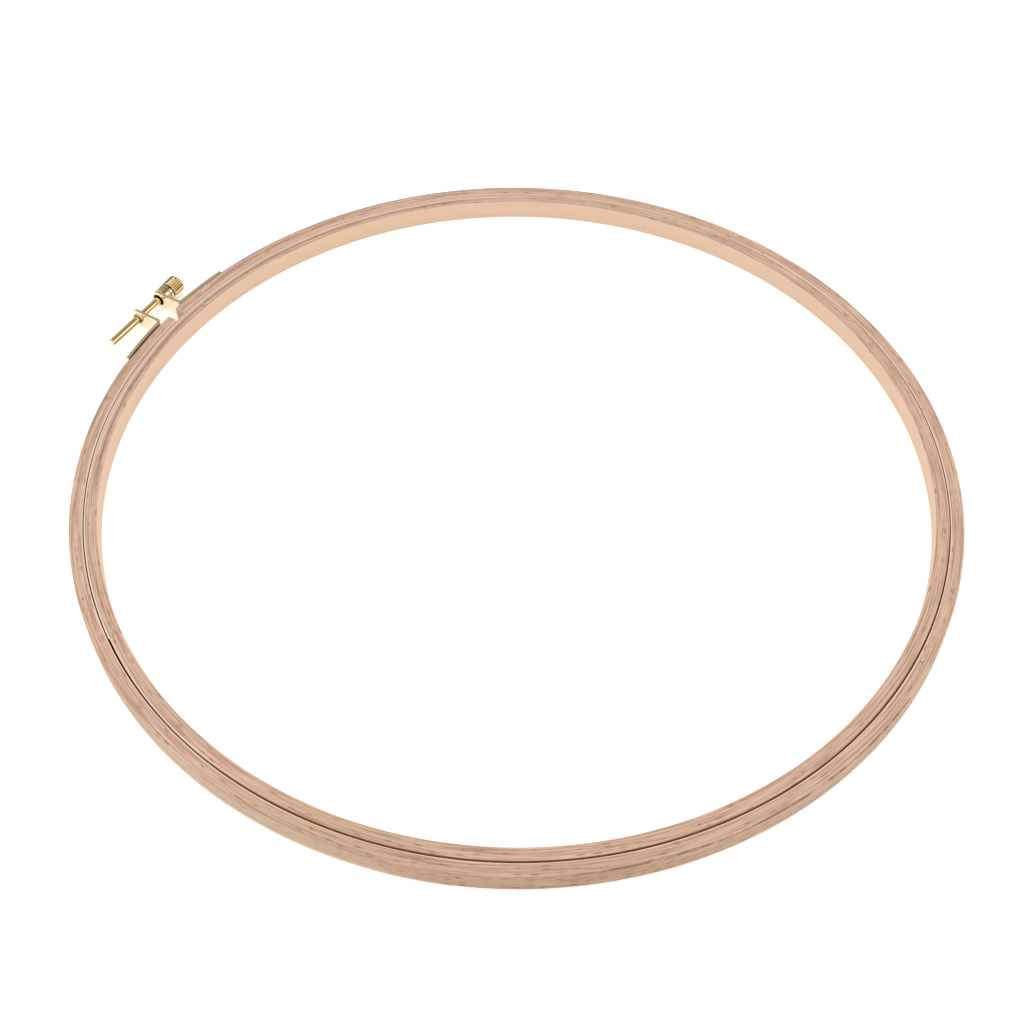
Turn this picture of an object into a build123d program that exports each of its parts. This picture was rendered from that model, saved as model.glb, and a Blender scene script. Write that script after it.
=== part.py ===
from build123d import *
import math
import os

# Wooden embroidery hoop with a 300 mm working opening and a brass clamp.
# A closed inner ring lies inside an outer ring that is split at the clamp.
# A thumb screw draws the two brass ears together, which closes the outer ring on the cloth.
# Millimetres. The origin is the centre of both rings, halfway through their depth.
# +Z is the rings' axis, +Y points to the clamp, +X runs along the screw to its head.

# Rings
opening_diameter = 300.0
ring_depth = 8.0
inner_strip_thickness = 4.85
outer_strip_thickness = 4.85
cloth_room = 0.3
arris_radius = 0.5
split_width = 5.0
split_arris_radius = 0.3

# Scarf lap of the inner ring: its outer tip ends in a low step, which fades out along the ring
lap_degrees = 149.85
lap_step_depth = 0.3
lap_fade_degrees = 24.0
lap_middle_share = 0.25

# Brass brackets
sheet_thickness = 1.3
bracket_inset = 0.3
ear_spacing = 11.2
bend_inner_radius = 1.0
strap_length = 22.7
strap_corner_radius = 0.6
axis_standoff = 11.7
clearance_hole_diameter = 5.0
tapped_boss_wall = 0.75
tapped_boss_length = 1.2

# Thumb screw and its spacer collar
screw_diameter = 3.0
thread_room = 0.2
shank_length = 33.1
shank_chamfer = 0.4
collar_diameter = 7.3
collar_length = 2.8
collar_room = 0.08
turned_chamfer = 0.25
flange_length = 1.5
groove_diameter = 5.9
groove_length = 0.55
knurl_diameter = 7.4
knurl_length = 5.8
knurl_depth = 0.35
knurl_count = 26
knurl_chamfer = 0.45
slot_width = 0.9
slot_depth = 1.2
slot_degrees = 115.0

# Rivets, two through each bracket
rivet_diameter = 2.0
rivet_room = 0.03
rivet_head_diameter = 3.8
rivet_head_height = 0.9
rivet_foot_diameter = 3.2
rivet_foot_depth = 0.7
rivet_recess = 0.15
rivet_place_shares = (0.24, 0.80)

# One overrun serves all cuts
overrun = 2.0

# Worked out from the sizes above
opening_radius = opening_diameter / 2
inner_ring_radius = opening_radius + inner_strip_thickness
outer_bore_radius = inner_ring_radius + cloth_room
hoop_radius = outer_bore_radius + outer_strip_thickness
strap_radius = hoop_radius + sheet_thickness
bracket_height = ring_depth - 2 * bracket_inset
ear_inner_x = ear_spacing / 2
ear_outer_x = ear_inner_x + sheet_thickness
axis_y = hoop_radius + axis_standoff
strap_start_angle = math.asin(ear_outer_x / strap_radius)
strap_end_angle = strap_start_angle + strap_length / strap_radius
bearing_x = ear_outer_x + collar_length


def disc_along_x(radius, start_x, end_x):
    """Round bar parallel to X on the screw's axis, from start_x to end_x."""
    bar = Rot(0, 90, 0) * Cylinder(radius, end_x - start_x)
    return Pos((start_x + end_x) / 2, axis_y, 0) * bar


def turned_disc(radius, start_x, end_x, chamfer_size):
    """Round bar on the screw's axis with both rims chamfered."""
    disc = disc_along_x(radius, start_x, end_x)
    return chamfer(disc.edges().filter_by(GeomType.CIRCLE), chamfer_size)


def mirrored(shape):
    """The same shape on the other side of the clamp."""
    return mirror(shape, about=Plane.YZ)


def ring_blank(bore_radius, outside_radius):
    """Whole bent strip with its four long arrises rounded."""
    ring = Cylinder(outside_radius, ring_depth) - Cylinder(bore_radius, ring_depth)
    return fillet(ring.edges().filter_by(GeomType.CIRCLE), arris_radius)


def polar(radius, degrees):
    """Point in the XY plane at this radius and angle from +X."""
    angle = math.radians(degrees)
    return (radius * math.cos(angle), radius * math.sin(angle))


def lap_relief():
    """Thin crescent that is missing past the blunt tip of the inner ring's lap."""
    fade_end = lap_degrees + lap_fade_degrees
    fade_middle = lap_degrees + lap_fade_degrees / 2
    rim_radius = inner_ring_radius + cloth_room
    tip = polar(inner_ring_radius - lap_step_depth, lap_degrees)
    middle = polar(inner_ring_radius - lap_middle_share * lap_step_depth, fade_middle)
    end = polar(inner_ring_radius, fade_end)
    rim = [polar(rim_radius, degrees) for degrees in (fade_end, fade_middle, lap_degrees)]
    outline = ThreePointArc(tip, middle, end) + Line(end, rim[0])
    outline += ThreePointArc(*rim) + Line(rim[-1], tip)
    return extrude(make_face(outline), ring_depth / 2 + overrun, both=True)


def make_inner_ring():
    """Closed inner ring with the low step of its scarf lap."""
    return ring_blank(opening_radius, inner_ring_radius) - lap_relief()


def rivet_outline():
    """Half outline of a rivet along +Y: foot countersunk in the wood, shank, domed head."""
    foot_y = outer_bore_radius + rivet_recess
    shank_radius = rivet_diameter / 2
    head_radius = rivet_head_diameter / 2
    dome_radius = (head_radius**2 + rivet_head_height**2) / (2 * rivet_head_height)
    half_angle = math.asin(head_radius / dome_radius) / 2
    dome_drop = dome_radius * (1 - math.cos(half_angle))
    crown = (0, strap_radius + rivet_head_height)
    shoulder = (dome_radius * math.sin(half_angle), crown[1] - dome_drop)
    rim = (head_radius, strap_radius)
    sides = Polyline(
        (0, foot_y),
        (rivet_foot_diameter / 2, foot_y),
        (shank_radius, foot_y + rivet_foot_depth),
        (shank_radius, strap_radius),
        rim,
    )
    return make_face(sides + ThreePointArc(rim, shoulder, crown) + Line(crown, (0, foot_y)))


def rivet_hole_outline():
    """Half outline of a rivet's hole along +Y, with room all round."""
    foot_y = outer_bore_radius + rivet_recess
    foot_radius = rivet_foot_diameter / 2 + rivet_room
    shank_radius = rivet_diameter / 2 + rivet_room
    outline = Polyline(
        (0, outer_bore_radius - overrun),
        (foot_radius, outer_bore_radius - overrun),
        (foot_radius, foot_y),
        (shank_radius, foot_y + rivet_foot_depth),
        (shank_radius, strap_radius + overrun),
        (0, strap_radius + overrun),
        close=True,
    )
    return make_face(outline)


def rivet_turns():
    """Angles of the two rivets on the +X side, in degrees about Z from +Y."""
    span = strap_end_angle - strap_start_angle
    return [-math.degrees(strap_start_angle + share * span) for share in rivet_place_shares]


def rivet_group():
    """The two rivets of the +X bracket."""
    rivet = revolve(rivet_outline(), Axis.Y)
    return Compound(children=[Rot(0, 0, turn) * rivet for turn in rivet_turns()])


def rivet_holes():
    """What the two rivets need cut away from the wood and the bracket."""
    hole = revolve(rivet_hole_outline(), Axis.Y)
    return [Rot(0, 0, turn) * hole for turn in rivet_turns()]


def make_outer_half():
    """The +X half of the outer ring, from the split round to the point opposite the clamp."""
    reach = hoop_radius + overrun
    half_space = Pos(reach / 2, 0, 0) * Box(reach, 2 * reach, ring_depth)
    split_slot = Pos(0, reach / 2, 0) * Box(split_width, reach, ring_depth)
    half = (ring_blank(outer_bore_radius, hoop_radius) & half_space) - split_slot
    cut_end = half.faces().filter_by(Axis.X).sort_by(Axis.Y)[-1]
    half = fillet(cut_end.edges(), split_arris_radius)
    for hole in rivet_holes():
        half -= hole
    return half


def bracket_blank():
    """Bent sheet of the +X bracket without its screw hole: strap, bend and rounded ear."""
    wedge = make_face(
        Polyline(
            (ear_inner_x, ear_inner_x / math.tan(strap_end_angle)),
            (ear_inner_x, axis_y),
            (axis_y * math.tan(strap_end_angle), axis_y),
            close=True,
        )
    )
    strap = (Circle(strap_radius) - Circle(hoop_radius)) & wedge
    ear_root_y = math.sqrt(hoop_radius**2 - ear_inner_x**2)
    ear_centre_x = (ear_inner_x + ear_outer_x) / 2
    ear = Pos(ear_centre_x, (ear_root_y + axis_y) / 2, 0) * Box(
        sheet_thickness, axis_y - ear_root_y, bracket_height
    )
    ear += disc_along_x(bracket_height / 2, ear_inner_x, ear_outer_x)
    blank = extrude(strap, bracket_height / 2, both=True) + ear
    upright = blank.edges().filter_by(Axis.Z)
    bend_outside = upright.sort_by_distance((ear_inner_x, ear_root_y, 0))[0]
    blank = fillet(bend_outside, bend_inner_radius + sheet_thickness)
    bend_y = math.sqrt(strap_radius**2 - ear_outer_x**2)
    bend_inside = blank.edges().filter_by(Axis.Z).sort_by_distance((ear_outer_x, bend_y, 0))[0]
    blank = fillet(bend_inside, bend_inner_radius)
    end_x = strap_radius * math.sin(strap_end_angle)
    corners = [
        edge
        for edge in blank.edges().filter_by(GeomType.LINE)
        if abs(edge.center().Z) > bracket_height / 4
        and abs(edge.length - sheet_thickness) < sheet_thickness / 2
        and edge.center().X > end_x - sheet_thickness
    ]
    return fillet(corners, strap_corner_radius)


def make_clearance_bracket():
    """Bracket on the head's side: the screw passes freely through its wide hole."""
    bracket = bracket_blank()
    hole_radius = clearance_hole_diameter / 2
    bracket -= disc_along_x(hole_radius, ear_inner_x - overrun, ear_outer_x + overrun)
    for hole in rivet_holes():
        bracket -= hole
    return bracket


def make_tapped_bracket():
    """Bracket on the free end's side: the ear is drawn out into a short tapped boss."""
    thread_radius = screw_diameter / 2 + thread_room
    boss_end_x = ear_outer_x + tapped_boss_length
    boss = disc_along_x(thread_radius + tapped_boss_wall, ear_outer_x - sheet_thickness / 2, boss_end_x)
    bracket = bracket_blank() + boss
    bracket -= disc_along_x(thread_radius, ear_inner_x - overrun, boss_end_x + overrun)
    for hole in rivet_holes():
        bracket -= hole
    return mirrored(bracket)


def make_spacer_collar():
    """Plain ring on the shank, between the clearance ear and the head."""
    ring = turned_disc(collar_diameter / 2, ear_outer_x, bearing_x, turned_chamfer)
    bore_radius = screw_diameter / 2 + collar_room
    return ring - disc_along_x(bore_radius, ear_outer_x - overrun, bearing_x + overrun)


def knurled_bar(start_x, end_x):
    """Straight-knurled bar on the screw's axis, its rims chamfered."""
    crest = knurl_diameter / 2
    root = crest - knurl_depth
    step = math.pi / knurl_count
    points = []
    for number in range(2 * knurl_count):
        radius = root if number % 2 else crest
        points.append((radius * math.cos(number * step), radius * math.sin(number * step)))
    star = make_face(Polyline(*points, close=True))
    bar = Rot(0, 90, 0) * extrude(star, end_x - start_x)
    return (Pos(start_x, axis_y, 0) * bar) & turned_disc(crest, start_x, end_x, knurl_chamfer)


def make_thumb_screw():
    """Shank, flange, groove and knurled head, turned from one bar and slotted."""
    tip_x = bearing_x - shank_length
    groove_x = bearing_x + flange_length
    knurl_x = groove_x + groove_length
    head_end_x = knurl_x + knurl_length
    shank = disc_along_x(screw_diameter / 2, tip_x, bearing_x)
    tip_edge = shank.edges().filter_by(GeomType.CIRCLE).sort_by(Axis.X)[0]
    shank = chamfer(tip_edge, shank_chamfer)
    flange = turned_disc(collar_diameter / 2, bearing_x, groove_x, turned_chamfer)
    groove = disc_along_x(groove_diameter / 2, groove_x, knurl_x)
    slot = Rot(slot_degrees, 0, 0) * Box(2 * slot_depth, 2 * knurl_diameter, slot_width)
    head = knurled_bar(knurl_x, head_end_x) - Pos(head_end_x, axis_y, 0) * slot
    return shank + flange + groove + head


def save(name, shape):
    """Write one node as its own STEP file."""
    shape.label = name
    export_step(shape, os.path.join("parts", name + ".step"))


def main():
    """Build every node and save it."""
    os.makedirs("parts", exist_ok=True)
    right_half = make_outer_half()
    right_rivets = rivet_group()
    save("inner_ring", make_inner_ring())
    save("outer_ring_right", right_half)
    save("outer_ring_left", mirrored(right_half))
    save("clearance_bracket", make_clearance_bracket())
    save("tapped_bracket", make_tapped_bracket())
    save("clearance_bracket_rivets", right_rivets)
    save("tapped_bracket_rivets", mirrored(right_rivets))
    save("spacer_collar", make_spacer_collar())
    save("thumb_screw", make_thumb_screw())


main()
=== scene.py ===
# Looks of the wooden embroidery hoop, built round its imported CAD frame.
# Metres, in the part's own frame: the origin is the centre of both rings, halfway through
# their depth. +Z is the rings' axis, +Y points to the clamp, +X along the screw to its head.

import logging
import math
from collections.abc import Callable
from dataclasses import dataclass, field
from enum import Enum

import bmesh
import bpy
from mathutils import Matrix, Quaternion, Vector


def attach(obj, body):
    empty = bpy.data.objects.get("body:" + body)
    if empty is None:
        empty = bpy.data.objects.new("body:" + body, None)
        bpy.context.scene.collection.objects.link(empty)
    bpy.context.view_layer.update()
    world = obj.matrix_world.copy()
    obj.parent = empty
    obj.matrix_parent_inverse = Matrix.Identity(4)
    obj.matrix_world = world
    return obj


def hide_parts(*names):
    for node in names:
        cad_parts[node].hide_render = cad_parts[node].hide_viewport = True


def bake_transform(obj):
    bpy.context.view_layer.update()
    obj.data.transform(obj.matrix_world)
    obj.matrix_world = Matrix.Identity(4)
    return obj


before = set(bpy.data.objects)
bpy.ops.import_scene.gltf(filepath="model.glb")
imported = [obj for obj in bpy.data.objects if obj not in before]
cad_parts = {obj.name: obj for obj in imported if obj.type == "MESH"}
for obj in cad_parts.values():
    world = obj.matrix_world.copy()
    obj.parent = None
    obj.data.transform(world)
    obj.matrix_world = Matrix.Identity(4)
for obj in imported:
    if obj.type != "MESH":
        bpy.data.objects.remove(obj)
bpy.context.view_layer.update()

logging.basicConfig(level=logging.INFO, format="%(message)s")
log = logging.getLogger("hoop")

Colour = tuple[float, float, float]
Point = tuple[float, float, float]
Mesh = bmesh.types.BMesh
Vert = bmesh.types.BMVert
Edge = bmesh.types.BMEdge
Thing = bpy.types.Object
Material = bpy.types.Material
Tree = bpy.types.NodeTree
Socket = bpy.types.NodeSocket
Sockets = bpy.types.bpy_prop_collection
Formula = Callable[["NodeBench", Sockets], tuple[Socket, ...]]

MM = 0.001
RING_STEPS = 720
TURNED_STEPS = 64
MERGE_DISTANCE = 1e-6
SHARP_DEGREES = 38.0
EASED_DEGREES = 50.0
NOISE_MIDDLE = 0.5
NOISE_ROUGHNESS = 0.55
STRIP_ATTRIBUTE = "strip"
VECTOR_SOCKETS = ("Place", "Size")
X_AXIS = (1.0, 0.0, 0.0)
Z_AXIS = (0.0, 0.0, 1.0)
CENTRE = (0.0, 0.0, 0.0)
MIRRORED = (-1.0, 1.0, 1.0)
LEVEL = (1.0, 1.0, 0.0)
WHITE = (1.0, 1.0, 1.0)


class Slot(Enum):
    """Names of the material slots."""

    INNER_WOOD = "inner_wood"
    OUTER_WOOD = "outer_wood"
    SHEET_BRASS = "sheet_brass"
    TURNED_BRASS = "turned_brass"
    RIVET_BRASS = "rivet_brass"


class Body(Enum):
    """Bodies of the frame that the pieces ride on."""

    FIXED_HALF = "outer_ring_fixed_half"
    MOVING_HALF = "outer_ring_moving_half"
    THUMB_SCREW = "thumb_screw"
    SPACER_COLLAR = "spacer_collar"
    INNER_RING = "inner_ring"


class Ear(Enum):
    """The two brackets, told apart by what their ear does."""

    CLEARANCE = "clearance_bracket"
    TAPPED = "tapped_bracket"

    @property
    def body(self) -> Body:
        """The body that the bracket and its rivets ride on."""
        return Body.FIXED_HALF if self is Ear.CLEARANCE else Body.MOVING_HALF


# Node trees


class NodeBench:
    """Adds nodes to one node tree and joins them."""

    def __init__(self, tree: Tree) -> None:
        """Work on this tree."""
        self.tree = tree

    def feed(self, socket: Socket, value: object) -> None:
        """Join a socket to its source, or set its constant.

        Args:
            socket: The input to feed.
            value: An output socket, a number, a vector or a colour.
        """
        if isinstance(value, bpy.types.NodeSocket):
            self.tree.links.new(value, socket)
        elif socket.type == "RGBA":
            socket.default_value = (*value, 1.0)
        else:
            socket.default_value = value

    def node(self, kind: str, inputs: dict | None = None, **settings: object) -> bpy.types.Node:
        """Add a node.

        Args:
            kind: Blender's name of the node type.
            inputs: What feeds its inputs, by name or number.
            settings: Its other properties.

        Returns:
            The new node.
        """
        made = self.tree.nodes.new(kind)
        for name, value in settings.items():
            setattr(made, name, value)
        for name, value in (inputs or {}).items():
            self.feed(made.inputs[name], value)
        return made

    def use(self, group: Tree, inputs: dict) -> bpy.types.Node:
        """Place a shared effect with its own values."""
        return self.node("ShaderNodeGroup", inputs, node_tree=group)

    def maths(self, operation: str, first: object, second: object = 0.0) -> Socket:
        """One step of arithmetic on two values."""
        return self.node("ShaderNodeMath", {0: first, 1: second}, operation=operation).outputs[0]

    def plus(self, first: object, second: object) -> Socket:
        """Sum of two values."""
        return self.maths("ADD", first, second)

    def minus(self, first: object, second: object) -> Socket:
        """Difference of two values."""
        return self.maths("SUBTRACT", first, second)

    def times(self, first: object, second: object) -> Socket:
        """Product of two values."""
        return self.maths("MULTIPLY", first, second)

    def vector(self, x: object, y: object, z: object) -> Socket:
        """Vector with these parts."""
        return self.node("ShaderNodeCombineXYZ", {0: x, 1: y, 2: z}).outputs[0]

    def parts(self, vector: Socket) -> object:
        """The three parts of a vector."""
        return self.node("ShaderNodeSeparateXYZ", {0: vector}).outputs

    def in_cells(self, place: Socket, size: object) -> Socket:
        """Place counted in cells of this size."""
        return self.node("ShaderNodeVectorMath", {0: place, 1: size}, operation="DIVIDE").outputs[0]

    def length(self, arm: Socket) -> Socket:
        """Length of a vector."""
        return self.node("ShaderNodeVectorMath", {0: arm}, operation="LENGTH").outputs["Value"]

    def fade(self, value: object, start: float, end: float) -> Socket:
        """Smooth rise from 0 at start to 1 at end."""
        limits = {"Value": value, "From Min": start, "From Max": end}
        made = self.node("ShaderNodeMapRange", limits, interpolation_type="SMOOTHSTEP")
        return made.outputs["Result"]

    def blend(self, share: object, first: object, second: object) -> Socket:
        """Colour between first, at 0, and second, at 1."""
        made = self.node("ShaderNodeMix", {0: share, 6: first, 7: second}, data_type="RGBA")
        return made.outputs[2]

    def noise(self, place: Socket, size: object, detail: float = 2.0) -> Socket:
        """Noise whose features have this size along each axis of place."""
        inputs = {"Vector": self.in_cells(place, size), "Scale": 1.0}
        inputs |= {"Detail": detail, "Roughness": NOISE_ROUGHNESS}
        return self.node("ShaderNodeTexNoise", inputs).outputs[0]

    def shade(self, inputs: dict, height: Socket, strength: float, depth: float) -> None:
        """End the tree in a Principled BSDF with a bumped surface.

        Args:
            inputs: What feeds the shader, apart from its normal.
            height: Height of the bump.
            strength: Strength of the bump.
            depth: Its depth, in metres.
        """
        bump = {"Height": height, "Strength": strength, "Distance": depth}
        normal = self.node("ShaderNodeBump", bump).outputs[0]
        shader = self.node("ShaderNodeBsdfPrincipled", inputs | {"Normal": normal})
        self.node("ShaderNodeOutputMaterial", {"Surface": shader.outputs[0]})


def new_material(name: str) -> Material:
    """Start a material whose node tree is empty."""
    material = bpy.data.materials.new(name)
    material.use_nodes = True
    material.node_tree.nodes.clear()
    return material


class EffectShelf:
    """The effects that several materials share, each made once as a node group.

    The pairs of numbers are where an effect starts to show and where it is full.
    """

    dash_edge: tuple[float, float] = (0.46, 0.20)
    dash_strength: tuple[float, float] = (-0.4, 1.0)
    mark_edge: tuple[float, float] = (1.0, 0.15)
    arris_edge: tuple[float, float] = (1.12, 0.72)
    grain_detail: float = 3.0
    hairline_detail: float = 4.0

    def __init__(self) -> None:
        """Make every group."""
        self.strip_place = self._group(self._strip_place, "Arc Per Degree", "Place, Bearing, Across, Up")
        self.drawn_grain = self._group(self._drawn_grain, "Place, Length, Breadth, Softness")
        self.ray_dashes = self._group(self._ray_dashes, "Place, Length, Breadth, Share")
        around = "Bearing, Across, Up, At Bearing, At Across, At Up, Half Degrees, Half Breadth"
        self.seen_mark = self._group(self._seen_mark, around)
        around = "Across, Up, Side, Half Thickness, Half Depth, Radius"
        self.arris_line = self._group(self._arris_line, around)
        self.stretch_of_ring = self._group(self._stretch_of_ring, "Bearing, Start, End, Fade")
        self.hairlines = self._group(self._hairlines, "Size, Blotch", "Line, Blotch")
        around = "Along, Start, End, Distance, Reach, Softness"
        self.deep_place = self._group(self._deep_place, around)

    def _group(self, formula: Formula, inputs: str, outputs: str = "Mask") -> Tree:
        """Make one node group, named after its formula.

        Args:
            formula: Builds the effect from the group's inputs and returns what its outputs give.
            inputs: The names of its inputs.
            outputs: The names of its outputs.

        Returns:
            The group.
        """
        tree = bpy.data.node_groups.new(formula.__name__.strip("_"), "ShaderNodeTree")
        for in_out, labels in (("INPUT", inputs), ("OUTPUT", outputs)):
            for label in labels.split(", "):
                kind = "NodeSocketVector" if label in VECTOR_SOCKETS else "NodeSocketFloat"
                tree.interface.new_socket(name=label, in_out=in_out, socket_type=kind)
        bench = NodeBench(tree)
        source = bench.node("NodeGroupInput").outputs
        sink = bench.node("NodeGroupOutput").inputs
        for label, value in zip(outputs.split(", "), formula(bench, source)):
            bench.feed(sink[label], value)
        return tree

    def _strip_place(self, bench: NodeBench, source: Sockets) -> tuple[Socket, ...]:
        """Where a point is on its bent strip, in millimetres and degrees."""
        strip = bench.node("ShaderNodeAttribute", attribute_name=STRIP_ATTRIBUTE)
        bearing, across, up = bench.parts(strip.outputs["Vector"])
        place = bench.vector(bench.times(bearing, source["Arc Per Degree"]), across, up)
        return place, bearing, across, up

    def _drawn_grain(self, bench: NodeBench, source: Sockets) -> tuple[Socket]:
        """Grain lines drawn out along the strip."""
        size = bench.vector(source["Length"], source["Breadth"], source["Breadth"])
        value = bench.noise(source["Place"], size, self.grain_detail)
        low = bench.minus(NOISE_MIDDLE, source["Softness"])
        high = bench.plus(NOISE_MIDDLE, source["Softness"])
        return (bench.fade(value, low, high),)

    def _ray_dashes(self, bench: NodeBench, source: Sockets) -> tuple[Socket]:
        """Short dark dashes, which are beech's rays cut across."""
        size = bench.vector(source["Length"], source["Breadth"], source["Breadth"])
        place = bench.in_cells(source["Place"], size)
        cells = bench.node("ShaderNodeTexVoronoi", {"Vector": place, "Scale": 1.0})
        chance = bench.node("ShaderNodeSeparateColor", {0: cells.outputs["Color"]}).outputs
        chosen = bench.maths("LESS_THAN", chance[0], source["Share"])
        body = bench.fade(cells.outputs["Distance"], *self.dash_edge)
        strength = bench.times(bench.fade(chance[1], *self.dash_strength), chosen)
        return (bench.times(body, strength),)

    def _seen_mark(self, bench: NodeBench, source: Sockets) -> tuple[Socket]:
        """One small oval mark at a known place on the strip."""
        total: object = 0.0
        reaches = {"Bearing": "Half Degrees", "Across": "Half Breadth", "Up": "Half Breadth"}
        for name, reach in reaches.items():
            gap = bench.minus(source[name], source["At " + name])
            share = bench.maths("DIVIDE", gap, source[reach])
            total = bench.plus(total, bench.times(share, share))
        return (bench.fade(total, *self.mark_edge),)

    def _arris_line(self, bench: NodeBench, source: Sockets) -> tuple[Socket]:
        """Narrow painted highlight along one pair of arrises."""
        sideways = bench.times(source["Across"], source["Side"])
        reach = bench.plus(sideways, bench.maths("ABSOLUTE", source["Up"]))
        corner = bench.plus(source["Half Thickness"], source["Half Depth"])
        inside = bench.maths("DIVIDE", bench.minus(corner, reach), source["Radius"])
        return (bench.fade(inside, *self.arris_edge),)

    def _between(self, bench: NodeBench, value: Socket, source: Sockets, room: Socket) -> Socket:
        """Full between the inputs Start and End, fading out past them.

        Args:
            bench: The group's bench.
            value: What is measured.
            source: The group's inputs.
            room: How far past them it fades out.

        Returns:
            The mask.
        """
        before = bench.minus(source["Start"], room)
        after = bench.plus(source["End"], room)
        rise = bench.fade(value, before, source["Start"])
        return bench.times(rise, bench.fade(value, after, source["End"]))

    def _stretch_of_ring(self, bench: NodeBench, source: Sockets) -> tuple[Socket]:
        """Stretch of the ring between two bearings."""
        return (self._between(bench, source["Bearing"], source, source["Fade"]),)

    def _hairlines(self, bench: NodeBench, source: Sockets) -> tuple[Socket, Socket]:
        """Fine parallel marks that rolling or turning leaves in brass, and its blotches."""
        place = bench.node("ShaderNodeTexCoord").outputs["Object"]
        blotch = bench.vector(source["Blotch"], source["Blotch"], source["Blotch"])
        return bench.noise(place, source["Size"], self.hairline_detail), bench.noise(place, blotch)

    def _deep_place(self, bench: NodeBench, source: Sockets) -> tuple[Socket]:
        """Mask for painted shade inside a bore, a groove or a slot, between two places along the screw's
        axis.
        """
        beyond = bench.plus(source["Reach"], source["Softness"])
        mask = self._between(bench, source["Along"], source, source["Softness"])
        return (bench.times(mask, bench.fade(source["Distance"], beyond, source["Reach"])),)


# Finishes


class Tone(Enum):
    """Tones of the marks, lines and tints that the wood shows; several are painted light or painted shade.
    """

    KNOT = (0.180, 0.095, 0.050)
    FLECK = (0.270, 0.145, 0.085)
    PITH = (0.240, 0.125, 0.075)
    # painted shade: dark brown that deepens the gap between the two rings
    SEAM = (0.300, 0.100, 0.030)
    # painted shade: dark brown on the outer wall under a strap
    GRIME = (0.130, 0.045, 0.012)
    RUST = (0.420, 0.205, 0.140)
    # painted shade: grey on the outer arris where it faces away from the light
    SLATE = (0.270, 0.255, 0.250)
    LILAC = (0.620, 0.450, 0.395)
    # painted light: paler tan that brightens stretches of the outer wall
    TAN = (0.800, 0.590, 0.430)
    # painted highlight along the arrises; also the pale side of one knot mark
    CREAM = (0.930, 0.700, 0.540)
    GLUE = (0.960, 0.760, 0.620)
    # painted light: widened arris highlights, the feather edge's highlight and the paler foot of the outer
    # wall
    FOOT = (0.940, 0.800, 0.650)


@dataclass(frozen=True)
class Stretch:
    """A run of the ring, in degrees from +X, with the strength it gives an effect."""

    start: float
    end: float
    fade: float
    strength: float


@dataclass(frozen=True)
class Mark:
    """A small mark that the strip's upper edge shows at one place."""

    bearing: float
    across: float
    half_degrees: float
    half_breadth: float
    strength: float
    tone: Tone = Tone.KNOT
    up: float = 4.0


@dataclass(frozen=True)
class Line:
    """A line along the strip's upper edge. Dash is the length of its pieces, 0 if it is whole."""

    across: float
    half_width: float
    tone: Tone
    runs: tuple[Stretch, ...]
    dash: float = 0.0


@dataclass(frozen=True)
class WallTint:
    """Painted light and painted shade on the strip's outer wall: each is full at one height and gone at
    another.
    """

    full_up: float
    none_up: float
    tone: Tone
    runs: tuple[Stretch, ...]


@dataclass(frozen=True)
class Grain:
    """Grain lines: their length and breadth in millimetres, and how soft their edges are."""

    length: float
    breadth: float
    softness: float


@dataclass(frozen=True)
class Dashes:
    """Ray dashes: the length and breadth of their cells in millimetres, and the share that has one."""

    length: float
    breadth: float
    share: float


@dataclass(frozen=True)
class Shares:
    """How strongly each kind of grain shows on one face of the strip."""

    streaks: float
    light: float
    dashes: float
    fine: float


class StripBench(NodeBench):
    """Bench for a bent strip: knows each point's place on it and holds the colour so far."""

    def __init__(self, tree: Tree, effects: EffectShelf, mid_radius: float) -> None:
        """Work on the tree of a strip with this middle radius, in millimetres."""
        super().__init__(tree)
        self.effects = effects
        strip = self.use(effects.strip_place, {"Arc Per Degree": math.radians(1) * mid_radius})
        self.place, self.bearing, self.across, self.up = strip.outputs
        self.colour: object = WHITE

    def lay(self, share: object, tone: Colour) -> None:
        """Paint this tone over the colour so far."""
        self.colour = self.blend(share, self.colour, tone)

    def mask(self, effect: Tree, inputs: dict) -> Socket:
        """The only output of a shared effect."""
        return self.use(effect, inputs).outputs[0]

    def grained(self, effect: Tree, grain: Grain | Dashes) -> Socket:
        """Mask of an effect whose inputs are the place and the fields of its sizes."""
        sizes = {name.title(): value for name, value in vars(grain).items()}
        return self.mask(effect, {"Place": self.place} | sizes)

    def grain(self, grain: Grain) -> Socket:
        """Mask of one kind of grain lines."""
        return self.grained(self.effects.drawn_grain, grain)

    def dashes(self, dashes: Dashes) -> Socket:
        """Mask of one kind of ray dashes."""
        return self.grained(self.effects.ray_dashes, dashes)

    def run(self, stretches: tuple[Stretch, ...]) -> object:
        """Strength of an effect round the ring.

        Args:
            stretches: Where it shows.

        Returns:
            The strength, or 0 where there are no stretches.
        """
        total: object = 0.0
        for stretch in stretches:
            inputs = {"Bearing": self.bearing, "Start": stretch.start, "End": stretch.end}
            mask = self.mask(self.effects.stretch_of_ring, inputs | {"Fade": stretch.fade})
            total = self.plus(total, self.times(mask, stretch.strength))
        return total


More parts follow.
